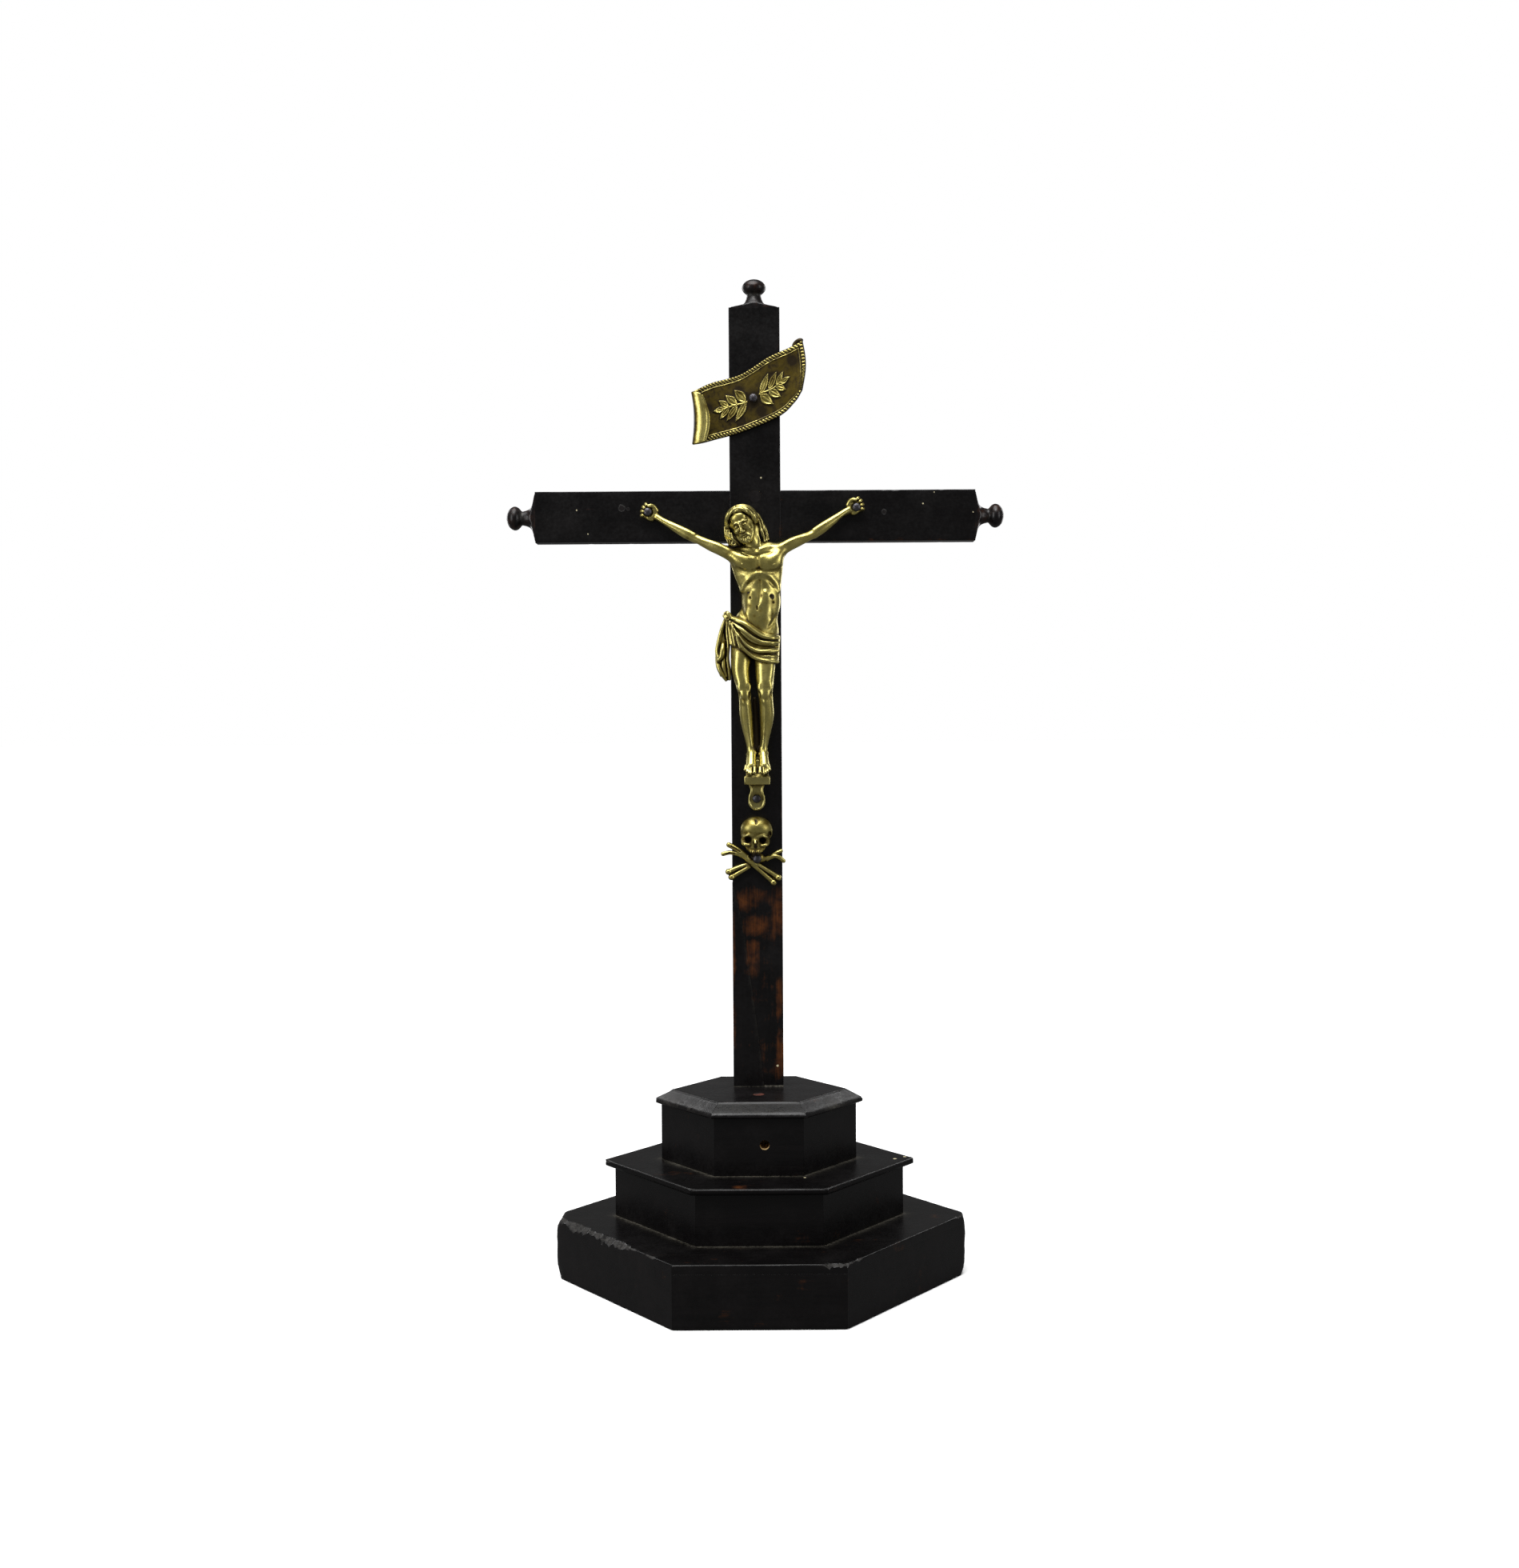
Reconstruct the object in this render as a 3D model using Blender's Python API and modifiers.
"""Altar cross: a blackened wooden cross with brass castings on a three-stepped hexagonal plinth.

Metres, +Z up. The front faces -Y, and the origin is the middle of the plinth's underside.
"""

import math

import bmesh
import bpy
from mathutils import Matrix, Vector

MM = 0.001
GAP = 0.3 * MM  # room left where two pieces meet
REACH = 1.0 * MM  # how far a cutter runs past the surface it opens, or a joined block overlaps

# Plinth. A plan is the half depth and half width of one hexagon with its front edge along X.
CANT = math.radians(52)  # slope of the canted sides, measured from the front
LOWER_PLAN = (73.5 * MM, 93.5 * MM)
MIDDLE_PLAN = (48.2 * MM, 64.8 * MM)
UPPER_PLAN = (31.2 * MM, 43.8 * MM)
SIDE_THICK = 6.0 * MM
BASE_THICK = 3.0 * MM
LOWER_TOP = 27.0 * MM
LOWER_TREAD_THICK = 4.0 * MM
MIDDLE_TOP = 52.5 * MM
MIDDLE_TREAD_THICK = 2.9 * MM
MIDDLE_NOSING = 4.0 * MM
CAP_TOP = 84.0 * MM
CAP_THICK = 6.2 * MM
CAP_NOSING = 2.6 * MM
CAP_SLOPE_WIDTH = 6.8 * MM
CAP_SLOPE_DROP = 4.0 * MM
HOLE_RADIUS = 2.1 * MM
HOLE_X = 2.5 * MM
HOLE_Z = 66.0 * MM
HOLE_DEPTH_IN_CORE = 5.0 * MM
PLUG_RADIUS = 2.5 * MM
PLUG_DEPTH = 12.0 * MM
PLUG_Y = -12.0 * MM

# Cross.
CROSS_Y = 8.0 * MM  # middle of the shaft's thickness
BAR_WIDTH = 22.6 * MM
BAR_THICK = 9.5 * MM
CROSSING = 340.0 * MM  # height of the crossbar's middle
SHAFT_TOP = 432.0 * MM
ARM = 98.0 * MM  # from the shaft's axis to the end of the crossbar
TENON_WIDTH = 16.0 * MM
TENON_THICK = 6.0 * MM
TENON_DEPTH = 24.0 * MM
PEG_RADIUS = 2.8 * MM
PEG_UP = 8.7 * MM  # above the crossing
SPIGOT_RADIUS = 2.5 * MM
SPIGOT_LENGTH = 8.0 * MM
FRONT = CROSS_Y - BAR_THICK / 2
BACK = CROSS_Y + BAR_THICK / 2

# Edge of the let-in repair, from the shaft's left edge down to its foot: across and up, in mm.
REPAIR_EDGE = [(-11.3, 177.5), (-6.3, 156.0), (-3.0, 131.0), (0.2, 107.0), (2.6, 84.3)]

# Half of a finial, down its outer side: radius and height above the bar's end, in mm.
FINIAL_PROFILE = [
    (0.0, 13.2), (2.4, 12.8), (4.2, 11.7), (5.2, 10.1), (5.3, 9.0), (4.5, 7.6), (3.2, 6.4),
    (3.3, 5.2), (3.8, 3.7), (4.9, 2.1), (7.0, 1.1), (9.6, 0.6), (11.3, 0.3),
]
BAR_END_HOLD = 3.4 * MM  # how far up a finial its base keeps the bar's thickness

# Nails and the brass under their heads. A nail's place is across and up from the crossing.
NAIL_SHANK = 0.75 * MM
NAIL_HOLE = NAIL_SHANK + 0.15 * MM
NAIL_IN_WOOD = 6.5 * MM
NAIL_HEAD_RADIUS = 2.1 * MM
NAIL_HEAD_HEIGHT = 1.3 * MM
HAND_THICK = 2.6 * MM
TAB_THICK = 1.5 * MM
SCROLL_THICK = 1.4 * MM
BONE_THICK = 3.0 * MM
LEFT_HAND_NAIL = (-47.7 * MM, 1.8 * MM)
RIGHT_HAND_NAIL = (45.0 * MM, 3.3 * MM)
TITULUS_NAIL = (-0.5 * MM, 51.7 * MM)
FOOT_NAIL = (-0.1 * MM, -125.9 * MM)
SKULL_NAIL = (-0.1 * MM, -152.7 * MM)

# Scroll, from left to right: across, up to the lower and upper edges, and out to the middle, in mm.
SCROLL_STATIONS = [
    (-26.7, 31.4, -27.1, 54.2, 3.4),
    (-17.4, 33.6, -18.4, 58.8, 1.5),
    (-4.9, 37.1, -5.9, 62.4, 1.2),
    (10.9, 43.7, 6.1, 69.8, 1.2),
    (19.7, 52.3, 17.5, 74.3, 2.2),
    (21.9, 56.8, 22.6, 72.6, 3.2),
]

BLACK_WOOD = ((0.018, 0.014, 0.013), 0.35, 0.0)
PALE_WOOD = ((0.42, 0.27, 0.13), 0.7, 0.0)
RED_WOOD = ((0.12, 0.035, 0.018), 0.5, 0.0)
BRASS = ((0.62, 0.50, 0.20), 0.32, 1.0)
IRON = ((0.12, 0.11, 0.11), 0.55, 1.0)

EDGE_NAMES = ["front", "front_right", "back_right", "back", "back_left", "front_left"]


def clear_scene():
    for old in list(bpy.data.objects):
        bpy.data.objects.remove(old, do_unlink=True)


def new_collection(name):
    collection = bpy.data.collections.new(name)
    bpy.context.scene.collection.children.link(collection)
    return collection


def add_object(name, data, collection):
    thing = bpy.data.objects.new(name, data)
    collection.objects.link(thing)
    return thing


def finish_part(part, finish):
    """Give a part its own material."""
    colour, roughness, metallic = finish
    material = bpy.data.materials.new(part.name)
    material.use_nodes = True
    shader = material.node_tree.nodes["Principled BSDF"]
    shader.inputs["Base Color"].default_value = (*colour, 1.0)
    shader.inputs["Roughness"].default_value = roughness
    shader.inputs["Metallic"].default_value = metallic
    part.data.materials.clear()
    part.data.materials.append(material)


def as_cutter(thing):
    """Move a shape to the cutters, where it only shapes other objects."""
    for collection in list(thing.users_collection):
        collection.objects.unlink(thing)
    CUTTERS.objects.link(thing)
    thing.hide_render = True
    thing.display_type = "WIRE"
    return thing


def boolean(part, other, operation):
    modifier = part.modifiers.new(other.name, "BOOLEAN")
    modifier.operation = operation
    modifier.solver = "EXACT"
    modifier.object = as_cutter(other)


def cut(part, *cutters):
    for cutter in cutters:
        boolean(part, cutter, "DIFFERENCE")


def block(name, low, high):
    """A box from its lowest corner to its highest."""
    low, high = Vector(low), Vector(high)
    bm = bmesh.new()
    size = Matrix.Diagonal((*(high - low), 1.0))
    bmesh.ops.create_cube(bm, size=1.0, matrix=Matrix.Translation((low + high) / 2) @ size)
    mesh = bpy.data.meshes.new(name)
    bm.to_mesh(mesh)
    bm.free()
    return add_object(name, mesh, PARTS)


def rod(name, start, end, radius, sides=24):
    """A round bar between two points."""
    start, end = Vector(start), Vector(end)
    turn = (end - start).to_track_quat("Z", "Y").to_matrix().to_4x4()
    bm = bmesh.new()
    bmesh.ops.create_cone(
        bm, cap_ends=True, segments=sides, radius1=radius, radius2=radius, depth=(end - start).length,
        matrix=Matrix.Translation((start + end) / 2) @ turn,
    )
    mesh = bpy.data.meshes.new(name)
    bm.to_mesh(mesh)
    bm.free()
    return add_object(name, mesh, PARTS)


def evaluated_mesh(thing):
    """The mesh of an object with its modifiers, welded, in world space; the object is removed."""
    bpy.context.view_layer.update()
    graph = bpy.context.evaluated_depsgraph_get()
    mesh = bpy.data.meshes.new_from_object(thing.evaluated_get(graph))
    mesh.transform(thing.matrix_world)
    bm = bmesh.new()
    bm.from_mesh(mesh)
    bmesh.ops.remove_doubles(bm, verts=bm.verts, dist=0.01 * MM)
    bmesh.ops.recalc_face_normals(bm, faces=bm.faces)
    bm.to_mesh(mesh)
    bm.free()
    bpy.data.objects.remove(thing, do_unlink=True)
    return mesh


def extruded(name, outline, half_length, frame):
    """A closed flat outline, extruded both ways along the frame's Z axis."""
    curve = bpy.data.curves.new(name, "CURVE")
    curve.dimensions = "2D"
    curve.fill_mode = "BOTH"
    curve.extrude = half_length
    spline = curve.splines.new("POLY")
    spline.points.add(len(outline) - 1)
    for point, (x, y) in zip(spline.points, outline):
        point.co = (x, y, 0.0, 1.0)
    spline.use_cyclic_u = True
    guide = add_object(name + "_outline", curve, PARTS)
    guide.matrix_world = frame
    return add_object(name, evaluated_mesh(guide), PARTS)


def turned_mesh(name, profile, sides):
    """A profile of radius and height, listed down the outer side, turned round Z."""
    mesh = bpy.data.meshes.new(name)
    points = [(radius, 0.0, height) for radius, height in profile]
    mesh.from_pydata(points, [(i, i + 1) for i in range(len(points) - 1)], [])
    guide = add_object(name + "_profile", mesh, PARTS)
    screw = guide.modifiers.new("turn", "SCREW")
    screw.steps = screw.render_steps = sides
    screw.use_merge_vertices = True
    screw.merge_threshold = 0.01 * MM
    return evaluated_mesh(guide)


def corners(plan):
    """The six corners of a plan, anticlockwise from the front left."""
    depth, width = plan
    front = width - depth / math.tan(CANT)
    return [
        Vector((-front, -depth, 0)), Vector((front, -depth, 0)), Vector((width, 0, 0)),
        Vector((front, depth, 0)), Vector((-front, depth, 0)), Vector((-width, 0, 0)),
    ]


def grown(plan, distance):
    """A plan with every edge moved outwards by the same distance."""
    depth, width = plan
    return depth + distance, width + distance / math.sin(CANT)


def hexagonal_block(name, plan, low, high):
    middle = (low + high) / 2
    outline = [(corner.x, corner.y) for corner in corners(plan)]
    return extruded(name, outline, (high - low) / 2, Matrix.Translation((0, 0, middle)))


def mitre(mesh, outer, inner, away):
    """Saw a board off along the vertical plane through an outer and an inner corner."""
    line = inner - outer
    normal = Vector((line.y, -line.x, 0)).normalized()
    if normal.dot(away) < 0:
        normal.negate()
    bm = bmesh.new()
    bm.from_mesh(mesh)
    sawn = bmesh.ops.bisect_plane(
        bm, geom=bm.verts[:] + bm.edges[:] + bm.faces[:],
        plane_co=outer - normal * GAP / 2, plane_no=normal, clear_outer=True,
    )
    rim = [item for item in sawn["geom_cut"] if isinstance(item, bmesh.types.BMEdge)]
    bmesh.ops.contextual_create(bm, geom=rim)
    bmesh.ops.recalc_face_normals(bm, faces=bm.faces)
    bm.to_mesh(mesh)
    bm.free()


def mitred_ring(name, outer_plan, inner_plan, profile):
    """Six boards round a plan. The profile takes a board's width and gives inset and height."""
    outer, inner = corners(outer_plan), corners(inner_plan)
    boards = []
    for i, edge in enumerate(EDGE_NAMES):
        j = (i + 1) % 6
        along = (outer[j] - outer[i]).normalized()
        inward = Vector((-along.y, along.x, 0))
        width = (inner[i] - outer[i]).dot(inward)
        frame = Matrix((inward, (0, 0, 1), along)).transposed().to_4x4()
        frame.translation = (outer[i] + outer[j]) / 2
        half_length = (outer[j] - outer[i]).length / 2 + REACH
        board = extruded(f"{name}_{edge}", profile(width), half_length, frame)
        mitre(board.data, outer[i], inner[i], -along)
        mitre(board.data, outer[j], inner[j], along)
        boards.append(board)
    return boards


def square_edge(low, high):
    return lambda width: [(0, low), (width, low), (width, high), (0, high)]


def rounded_nosing(top, thick):
    """A tread whose front edge is round below and nearly sharp above."""
    def profile(width):
        nose = [(0.9, 1.0), (0.3, 0.84), (0.0, 0.5), (0.0, 0.18), (0.35, 0.0)]
        edge = [(inset * MM, top - share * thick) for inset, share in nose]
        return [(width, top), *reversed(edge), (width, top - thick)]
    return profile


def cap_section(width):
    """Sloping moulding: a flat slope down from the inner edge and a small round nose."""
    bottom = CAP_TOP - CAP_THICK
    slope_foot = CAP_TOP - CAP_SLOPE_DROP
    return [
        (width, CAP_TOP), (0.5 * MM, slope_foot), (0.0, slope_foot - 0.6 * MM),
        (0.1 * MM, bottom + 0.7 * MM), (0.9 * MM, bottom), (width, bottom),
    ]


def make_steps():
    """The mitred boards of the three steps and the plain blocks inside them."""
    middle_lip = grown(MIDDLE_PLAN, MIDDLE_NOSING)
    core_inset = -SIDE_THICK - GAP
    lower_wall_top = LOWER_TOP - LOWER_TREAD_THICK - GAP
    middle_wall_top = MIDDLE_TOP - MIDDLE_TREAD_THICK - GAP
    upper_wall_top = CAP_TOP - CAP_THICK - GAP
    walls = [
        ("lower_side", LOWER_PLAN, 0.0, lower_wall_top),
        ("middle_side", MIDDLE_PLAN, LOWER_TOP + GAP, middle_wall_top),
        ("upper_side", UPPER_PLAN, MIDDLE_TOP + GAP, upper_wall_top),
    ]
    boards = {}
    for name, plan, low, high in walls:
        boards[name] = mitred_ring(name, plan, grown(plan, -SIDE_THICK), square_edge(low, high))
    boards["lower_tread"] = mitred_ring(
        "lower_tread", LOWER_PLAN, grown(MIDDLE_PLAN, -SIDE_THICK),
        square_edge(LOWER_TOP - LOWER_TREAD_THICK, LOWER_TOP),
    )
    boards["middle_tread"] = mitred_ring(
        "middle_tread", middle_lip, grown(UPPER_PLAN, -SIDE_THICK),
        rounded_nosing(MIDDLE_TOP, MIDDLE_TREAD_THICK),
    )
    for board in sum(boards.values(), []):
        finish_part(board, BLACK_WOOD)
    drill_front(boards["upper_side"][0])

    cores = [
        hexagonal_block("base_board", grown(LOWER_PLAN, core_inset), 0.0, BASE_THICK),
        hexagonal_block("core_lower", grown(LOWER_PLAN, core_inset), BASE_THICK + GAP, lower_wall_top),
        hexagonal_block("core_middle", grown(MIDDLE_PLAN, core_inset),
                        lower_wall_top + GAP, middle_wall_top),
        hexagonal_block("core_upper", grown(UPPER_PLAN, core_inset),
                        middle_wall_top + GAP, upper_wall_top),
    ]
    for core in cores:
        finish_part(core, PALE_WOOD)
    cut(cores[-1], front_drill(), mortise(), plug_bore())


def front_drill():
    """The drill that made the hole in the front of the upper step."""
    core_face = -UPPER_PLAN[0] + SIDE_THICK + GAP
    start = (HOLE_X, -UPPER_PLAN[0] - REACH, HOLE_Z)
    return rod("front_drill", start, (HOLE_X, core_face + HOLE_DEPTH_IN_CORE, HOLE_Z), HOLE_RADIUS)


def drill_front(board):
    cut(board, front_drill())


def mortise():
    """Room for the tenon, open at the top."""
    half_width = TENON_WIDTH / 2 + GAP
    half_thick = TENON_THICK / 2 + GAP
    floor = CAP_TOP - TENON_DEPTH - GAP
    return block("mortise", (-half_width, CROSS_Y - half_thick, floor),
                 (half_width, CROSS_Y + half_thick, CAP_TOP + REACH))


def plug_bore():
    bottom = CAP_TOP - PLUG_DEPTH - GAP
    return rod("plug_bore", (0, PLUG_Y, bottom), (0, PLUG_Y, CAP_TOP + REACH), PLUG_RADIUS + GAP)


def make_cap():
    """The sloping mouldings, the panel they frame, and the plug in it."""
    lip = grown(UPPER_PLAN, CAP_NOSING)
    for strip in mitred_ring("cap_moulding", lip, grown(lip, -CAP_SLOPE_WIDTH), cap_section):
        finish_part(strip, BLACK_WOOD)
    panel_plan = grown(lip, -CAP_SLOPE_WIDTH - GAP)
    panel = hexagonal_block("cap_panel", panel_plan, CAP_TOP - CAP_THICK, CAP_TOP)
    finish_part(panel, BLACK_WOOD)
    cut(panel, mortise(), plug_bore())
    plug = rod("cap_plug", (0, PLUG_Y, CAP_TOP - PLUG_DEPTH), (0, PLUG_Y, CAP_TOP), PLUG_RADIUS)
    finish_part(plug, RED_WOOD)


def on_cross(x, out, up):
    """A point given across, out from the cross's front and up from the crossing."""
    return Vector((x, FRONT - out, CROSSING + up))


def nail_bore(name, place):
    """A blind hole for a nail, from in front of the wood."""
    x, up = place
    return rod(name + "_bore", on_cross(x, REACH, up), on_cross(x, -NAIL_IN_WOOD - GAP, up), NAIL_HOLE, 12)


def peg_bore():
    return rod("peg_bore", (0, FRONT - REACH, CROSSING + PEG_UP), (0, BACK + REACH, CROSSING + PEG_UP),
               PEG_RADIUS + GAP)


def spigot_bore(name, end, outward):
    """A blind hole in the end of a bar."""
    end, outward = Vector(end), Vector(outward)
    return rod(name, end + outward * REACH, end - outward * (SPIGOT_LENGTH + GAP), SPIGOT_RADIUS + GAP)


def repair_outline(edge_shift, low, spare):
    """The repair's outline in X and Z, its slanting edge moved right and its other edges out."""
    edge = [(x * MM + edge_shift, z * MM) for x, z in REPAIR_EDGE]
    edge[-1] = (edge[-1][0], low)
    return edge + [(-BAR_WIDTH / 2 - spare, low), (-BAR_WIDTH / 2 - spare, edge[0][1])]


def upright_outline(name, outline, half_thick):
    """An outline drawn on the front, extruded through the thickness."""
    frame = Matrix(((1, 0, 0, 0), (0, 0, -1, CROSS_Y), (0, 1, 0, 0), (0, 0, 0, 1)))
    return extruded(name, outline, half_thick, frame)


def make_shaft():
    half = BAR_WIDTH / 2
    foot = CAP_TOP + GAP
    shaft = block("shaft", (-half, FRONT, foot), (half, BACK, SHAFT_TOP))
    tenon = block("tenon", (-TENON_WIDTH / 2, CROSS_Y - TENON_THICK / 2, CAP_TOP - TENON_DEPTH),
                  (TENON_WIDTH / 2, CROSS_Y + TENON_THICK / 2, foot + 2 * REACH))
    boolean(shaft, tenon, "UNION")
    lap = block("shaft_lap", (-half - REACH, CROSS_Y - GAP / 2, CROSSING - half - GAP),
                (half + REACH, BACK + REACH, CROSSING + half + GAP))
    scarf = upright_outline("scarf", repair_outline(GAP, foot - 2 * GAP, REACH), BAR_THICK / 2 + REACH)
    cut(shaft, lap, scarf, peg_bore(), spigot_bore("top_bore", (0, CROSS_Y, SHAFT_TOP), (0, 0, 1)),
        nail_bore("titulus", TITULUS_NAIL), nail_bore("foot", FOOT_NAIL), nail_bore("skull", SKULL_NAIL))
    finish_part(shaft, BLACK_WOOD)

    # With nothing to spare, the outline's last point is its first one again.
    repair = upright_outline("shaft_repair", repair_outline(0.0, foot, 0.0)[:-1], BAR_THICK / 2)
    finish_part(repair, BLACK_WOOD)


def make_crossbar():
    half = BAR_WIDTH / 2
    crossbar = block("crossbar", (-ARM, FRONT, CROSSING - half), (ARM, BACK, CROSSING + half))
    lap = block("crossbar_lap", (-half - GAP, FRONT - REACH, CROSSING - half - REACH),
                (half + GAP, CROSS_Y + GAP / 2, CROSSING + half + REACH))
    cut(crossbar, lap, peg_bore(),
        spigot_bore("left_bore", (-ARM, CROSS_Y, CROSSING), (-1, 0, 0)),
        spigot_bore("right_bore", (ARM, CROSS_Y, CROSSING), (1, 0, 0)),
        nail_bore("left_hand", LEFT_HAND_NAIL), nail_bore("right_hand", RIGHT_HAND_NAIL))
    finish_part(crossbar, BLACK_WOOD)
    peg_height = CROSSING + PEG_UP
    peg = rod("lap_peg", (0, FRONT, peg_height), (0, BACK, peg_height), PEG_RADIUS)
    finish_part(peg, RED_WOOD)


def finial_mesh():
    """A turned finial on a spigot, standing on Z = 0, its wide base as thin as the bar."""
    profile = [(radius * MM, height * MM) for radius, height in FINIAL_PROFILE]
    profile += [(SPIGOT_RADIUS, GAP), (SPIGOT_RADIUS, -SPIGOT_LENGTH), (0.0, -SPIGOT_LENGTH)]
    finial = add_object("finial_blank", turned_mesh("finial", profile, 24), PARTS)
    for side in (-1, 1):
        near, far = sorted((side * BAR_THICK / 2, side * BAR_WIDTH))
        shaving = block("shaving", (-BAR_WIDTH, near, -REACH), (BAR_WIDTH, far, BAR_END_HOLD))
        cut(finial, shaving)
    return evaluated_mesh(finial)


def make_finials():
    places = [
        ("finial_top", (0, CROSS_Y, SHAFT_TOP), 0.0),
        ("finial_left", (-ARM, CROSS_Y, CROSSING), -90.0),
        ("finial_right", (ARM, CROSS_Y, CROSSING), 90.0),
    ]
    for name, place, turn in places:
        finial = add_object(name, finial_mesh(), PARTS)
        finial.location = place
        finial.rotation_euler = (0, math.radians(turn), 0)
        finish_part(finial, BLACK_WOOD)


def make_nails():
    """Short nails with domed eight-sided heads, each standing on the brass that it holds."""
    heads = [
        ("nail_left_hand", LEFT_HAND_NAIL, HAND_THICK + 2 * GAP),
        ("nail_right_hand", RIGHT_HAND_NAIL, HAND_THICK + 2 * GAP),
        ("nail_titulus", TITULUS_NAIL, SCROLL_THICK + 3 * GAP),
        ("nail_foot", FOOT_NAIL, TAB_THICK + 2 * GAP),
        ("nail_skull", SKULL_NAIL, BONE_THICK + 2 * GAP),
    ]
    for name, (x, up), seat in heads:
        profile = [
            (0.0, NAIL_HEAD_HEIGHT), (NAIL_HEAD_RADIUS * 0.55, NAIL_HEAD_HEIGHT * 0.85),
            (NAIL_HEAD_RADIUS * 0.92, NAIL_HEAD_HEIGHT * 0.4), (NAIL_HEAD_RADIUS, 0.0),
            (NAIL_SHANK, 0.0), (NAIL_SHANK, -seat - NAIL_IN_WOOD * 0.7), (0.0, -seat - NAIL_IN_WOOD),
        ]
        nail = add_object(name, turned_mesh(name, profile, 8), PARTS)
        nail.location = on_cross(x, seat, up)
        nail.rotation_euler = (math.radians(90), 0, 0)
        finish_part(nail, IRON)


def add_capsule(bm, start, end, start_radius, end_radius):
    """A tapered limb with round ends; each end is across, out and up, in mm."""
    ends = [on_cross(*(value * MM for value in point)) for point in (start, end)]
    axis = ends[1] - ends[0]
    turn = axis.to_track_quat("Z", "Y").to_matrix().to_4x4()
    bmesh.ops.create_cone(
        bm, cap_ends=True, segments=16, radius1=start_radius * MM, radius2=end_radius * MM,
        depth=axis.length, matrix=Matrix.Translation((ends[0] + ends[1]) / 2) @ turn,
    )
    for place, radius in zip(ends, (start_radius, end_radius)):
        bmesh.ops.create_uvsphere(
            bm, u_segments=16, v_segments=10, radius=radius * MM, matrix=Matrix.Translation(place)
        )


def add_egg(bm, centre, radii, lean=0.0):
    """An ellipsoid, leaned sideways by an angle in degrees; centre and radii in mm."""
    place = Matrix.Translation(on_cross(*(value * MM for value in centre)))
    lean = Matrix.Rotation(math.radians(lean), 4, "Y")
    size = Matrix.Diagonal((*(radius * MM for radius in radii), 1.0))
    bmesh.ops.create_uvsphere(bm, u_segments=20, v_segments=14, radius=1.0, matrix=place @ lean @ size)


def add_slab(bm, low, high):
    """A box between two corners given across, out and up, in mm."""
    a = on_cross(*(value * MM for value in low))
    b = on_cross(*(value * MM for value in high))
    size = Matrix.Diagonal((*(abs(value) for value in b - a), 1.0))
    bmesh.ops.create_cube(bm, size=1.0, matrix=Matrix.Translation((a + b) / 2) @ size)


def cast_in_one(name, bm, voxel, keep):
    """Melt overlapping shapes into one skin, thin out its faces and flatten its back."""
    mesh = bpy.data.meshes.new(name)
    bm.to_mesh(mesh)
    bm.free()
    rough = add_object(name + "_rough", mesh, PARTS)
    remesh = rough.modifiers.new("melt", "REMESH")
    remesh.mode = "VOXEL"
    remesh.voxel_size = voxel
    decimate = rough.modifiers.new("thin", "DECIMATE")
    decimate.ratio = keep
    casting = add_object(name, evaluated_mesh(rough), PARTS)
    low = Vector((-ARM, FRONT - GAP, 0.0))
    cut(casting, block(name + "_back", low, (ARM, BACK + BAR_WIDTH, SHAFT_TOP)))
    return casting


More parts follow.
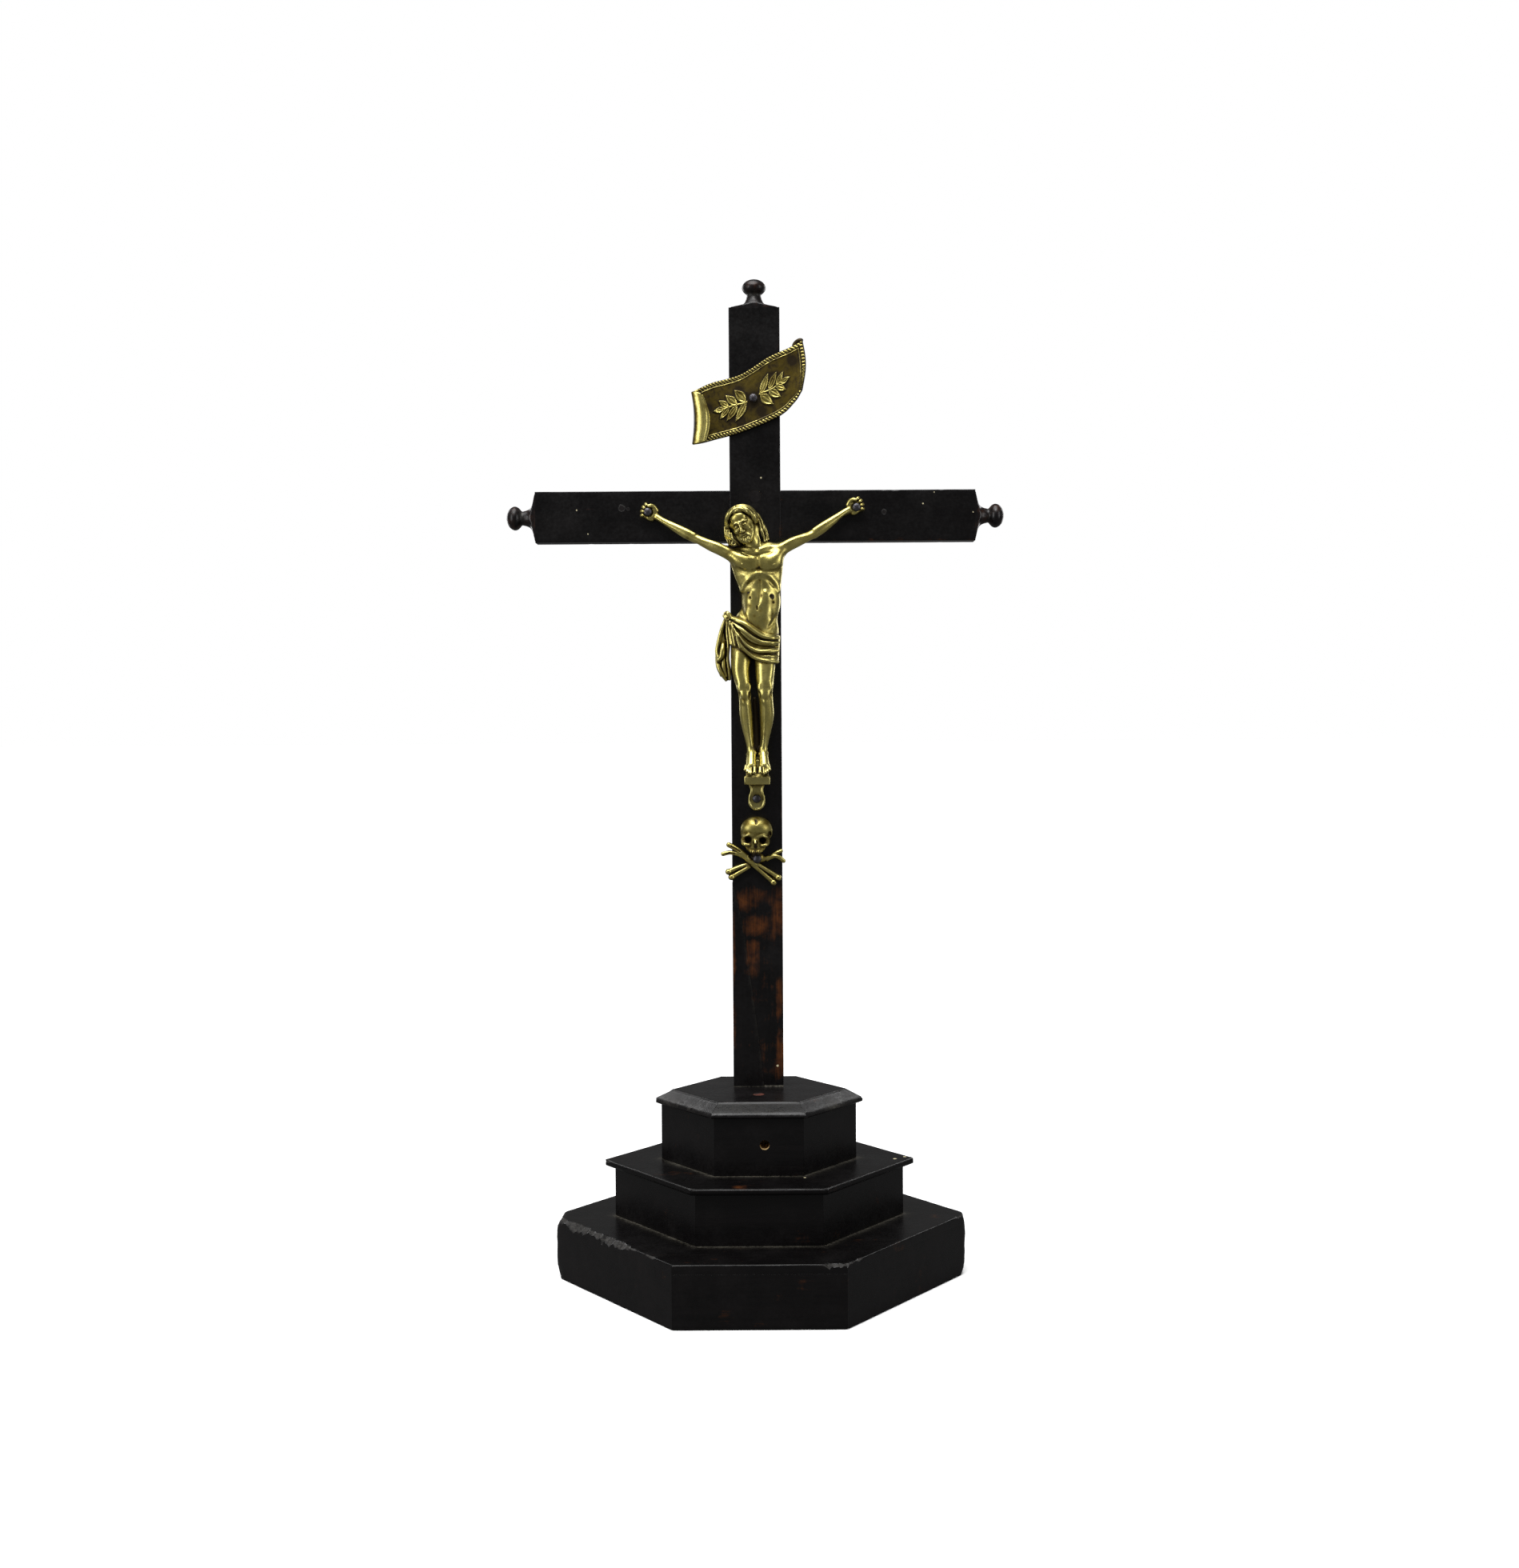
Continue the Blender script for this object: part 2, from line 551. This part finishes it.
def make_corpus():
    """The figure, its loincloth, the block under its feet and the tab with the nail hole."""
    bm = bmesh.new()
    add_egg(bm, (0.4, 6.6, -21.5), (10.8, 5.6, 9.5))
    add_egg(bm, (1.4, 6.4, -36.0), (8.0, 4.8, 12.0))
    add_egg(bm, (-0.2, 6.6, -51.0), (9.6, 5.8, 9.0))
    add_capsule(bm, (0.2, 8.0, -16.0), (-3.6, 10.0, -8.5), 3.8, 3.4)
    add_egg(bm, (-6.4, 11.0, -3.6), (6.9, 6.8, 8.4), lean=-22)
    add_capsule(bm, (-9.6, 8.0, -7.0), (-10.2, 6.5, -14.0), 2.8, 1.6)
    add_capsule(bm, (0.2, 8.0, -5.0), (4.8, 6.2, -11.5), 3.0, 1.6)
    arms = [
        [(-8.6, 7.6, -18.0, 3.8), (-23.7, 6.2, -9.6, 2.8), (-43.2, 3.4, -1.2, 1.8)],
        [(8.8, 7.6, -17.0, 3.8), (23.4, 6.2, -7.8, 2.8), (40.1, 3.4, 0.9, 1.8)],
    ]
    for shoulder, elbow, wrist in arms:
        add_capsule(bm, shoulder[:3], elbow[:3], shoulder[3], elbow[3])
        add_capsule(bm, elbow[:3], wrist[:3], elbow[3], wrist[3])
    for wrist, palm, tips in (
        ((-43.2, 2.6, -1.2), (-47.9, 1.6, 1.9), (-51.0, 2.0, 5.2)),
        ((40.1, 2.6, 0.9), (45.2, 1.6, 3.4), (49.0, 2.0, 5.2)),
    ):
        add_capsule(bm, wrist, palm, 1.8, 1.6)
        add_egg(bm, palm, (3.5, 1.3, 3.0))
        add_capsule(bm, palm, tips, 1.4, 1.3)
    for side, hip, knee, ankle, toe in (
        (-1, (-4.6, 7.4, -57.0), (-4.7, 10.6, -78.5), (-2.2, 6.2, -104.0), (-2.9, 9.0, -113.2)),
        (1, (4.4, 7.4, -57.0), (4.3, 10.6, -81.0), (3.3, 6.2, -104.0), (3.4, 9.0, -113.2)),
    ):
        add_capsule(bm, hip, knee, 5.1, 3.3)
        add_capsule(bm, knee, ankle, 3.3, 2.2)
        add_capsule(bm, ankle, toe, 2.4, 2.3)
        add_capsule(bm, (ankle[0], 3.6, -108.0), (toe[0], 4.6, -113.4), 2.2, 2.2)
    add_egg(bm, (0.0, 7.2, -55.5), (10.4, 6.6, 10.5), lean=-12)
    add_capsule(bm, (-12.4, 6.4, -44.6), (-14.4, 4.6, -60.0), 2.2, 2.8)
    add_capsule(bm, (-14.4, 4.6, -60.0), (-12.8, 3.4, -70.4), 2.8, 2.2)
    add_slab(bm, (-5.3, 0.0, -119.5), (6.5, 10.8, -115.6))
    add_slab(bm, (-5.3, 0.0, -116.5), (6.5, 2.6, -107.5))
    corpus = cast_in_one("corpus", bm, 1.0 * MM, 0.14)

    tab = block("tab", on_cross(-3.7 * MM, TAB_THICK + GAP, -127.0 * MM),
                on_cross(3.7 * MM, GAP, -117.5 * MM))
    tab_end = rod("tab_end", on_cross(0, GAP, -127.0 * MM), on_cross(0, TAB_THICK + GAP, -127.0 * MM),
                  3.7 * MM)
    boolean(corpus, tab, "UNION")
    boolean(corpus, tab_end, "UNION")
    for name, (x, up), thick in (
        ("left_hand", LEFT_HAND_NAIL, HAND_THICK), ("right_hand", RIGHT_HAND_NAIL, HAND_THICK),
        ("foot", FOOT_NAIL, TAB_THICK),
    ):
        seat = on_cross(x, thick + GAP, up)
        room = seat + Vector((0, -8 * MM, 0))
        cut(corpus, rod(name + "_seat", seat, room, NAIL_HEAD_RADIUS + GAP, 16))
        cut(corpus, rod(name + "_hole", room, on_cross(x, -REACH, up), NAIL_HOLE, 12))
    finish_part(corpus, BRASS)


def smooth_station(stations, t):
    """A point on the smooth curve through the stations, t running from 0 to the last one."""
    i = min(int(t), len(stations) - 2)
    t -= i
    before = stations[max(i - 1, 0)]
    after = stations[min(i + 2, len(stations) - 1)]
    here, there = stations[i], stations[i + 1]
    return [
        0.5 * (2 * b + (c - a) * t + (2 * a - 5 * b + 4 * c - d) * t**2 + (3 * b - a - 3 * c + d) * t**3)
        for a, b, c, d in zip(before, here, there, after)
    ]


def make_titulus():
    """A waving scroll, lofted between its lower and upper edges and thickened."""
    columns, rows = 20, 4
    last = len(SCROLL_STATIONS) - 1
    grid = []
    for i in range(columns + 1):
        low_x, low_up, high_x, high_up, out = smooth_station(SCROLL_STATIONS, last * i / columns)
        for j in range(rows + 1):
            share = j / rows
            x = low_x + (high_x - low_x) * share
            up = low_up + (high_up - low_up) * share
            grid.append(on_cross(x * MM, out * MM, up * MM))
    faces = []
    for i in range(columns):
        for j in range(rows):
            corner = i * (rows + 1) + j
            faces.append((corner, corner + rows + 1, corner + rows + 2, corner + 1))
    mesh = bpy.data.meshes.new("titulus")
    mesh.from_pydata(grid, [], faces)
    titulus = add_object("titulus", mesh, PARTS)
    solid = titulus.modifiers.new("thickness", "SOLIDIFY")
    solid.thickness = SCROLL_THICK
    solid.offset = 0.0
    x, up = TITULUS_NAIL
    cut(titulus, rod("titulus_hole", on_cross(x, 6 * MM, up), on_cross(x, -REACH, up), NAIL_HOLE, 12))
    finish_part(titulus, BRASS)


def make_skull():
    """A skull without a lower jaw above two crossed long bones."""
    bm = bmesh.new()
    add_egg(bm, (-0.5, 3.0, -141.2), (7.0, 4.6, 7.2))
    add_egg(bm, (-0.7, 3.2, -147.4), (4.2, 3.4, 3.4))
    bones = [
        ((-13.0, 1.9, -149.2), (7.4, 1.7, -161.4), (-13.6, 1.8, -146.6), (-15.0, 1.8, -150.2)),
        ((9.9, 1.9, -152.4), (-11.4, 1.7, -159.0), (11.2, 1.8, -153.4), (10.1, 1.8, -150.0)),
    ]
    for near, far, knob_a, knob_b in bones:
        add_capsule(bm, near, far, 1.5, 1.5)
        add_capsule(bm, near, knob_a, 1.5, 1.5)
        add_capsule(bm, near, knob_b, 1.5, 1.4)
    for x, up in ((9.4, -160.6), (7.8, -163.2), (-13.0, -158.3), (-11.5, -160.7)):
        add_egg(bm, (x, 1.8, up), (1.8, 1.6, 1.8))
    add_egg(bm, (-0.1, 1.5, -153.5), (4.0, 1.6, 4.5))
    skull = cast_in_one("skull_and_bones", bm, 0.6 * MM, 0.16)
    for x in (-4.0, 2.4):
        place = [value * MM for value in (x, 7.4, -143.2)]
        socket = rod("socket", on_cross(*place), on_cross(place[0], 4.6 * MM, place[2]), 1.6 * MM, 12)
        cut(skull, socket)
    x, up = SKULL_NAIL
    seat = on_cross(x, BONE_THICK + GAP, up)
    room = seat + Vector((0, -6 * MM, 0))
    cut(skull, rod("skull_seat", seat, room, NAIL_HEAD_RADIUS + GAP, 16))
    cut(skull, rod("skull_hole", room, on_cross(x, -REACH, up), NAIL_HOLE, 12))
    finish_part(skull, BRASS)


clear_scene()
PARTS = new_collection("altar_cross")
CUTTERS = new_collection("cutters")
make_steps()
make_cap()
make_shaft()
make_crossbar()
make_finials()
make_corpus()
make_titulus()
make_skull()
make_nails()
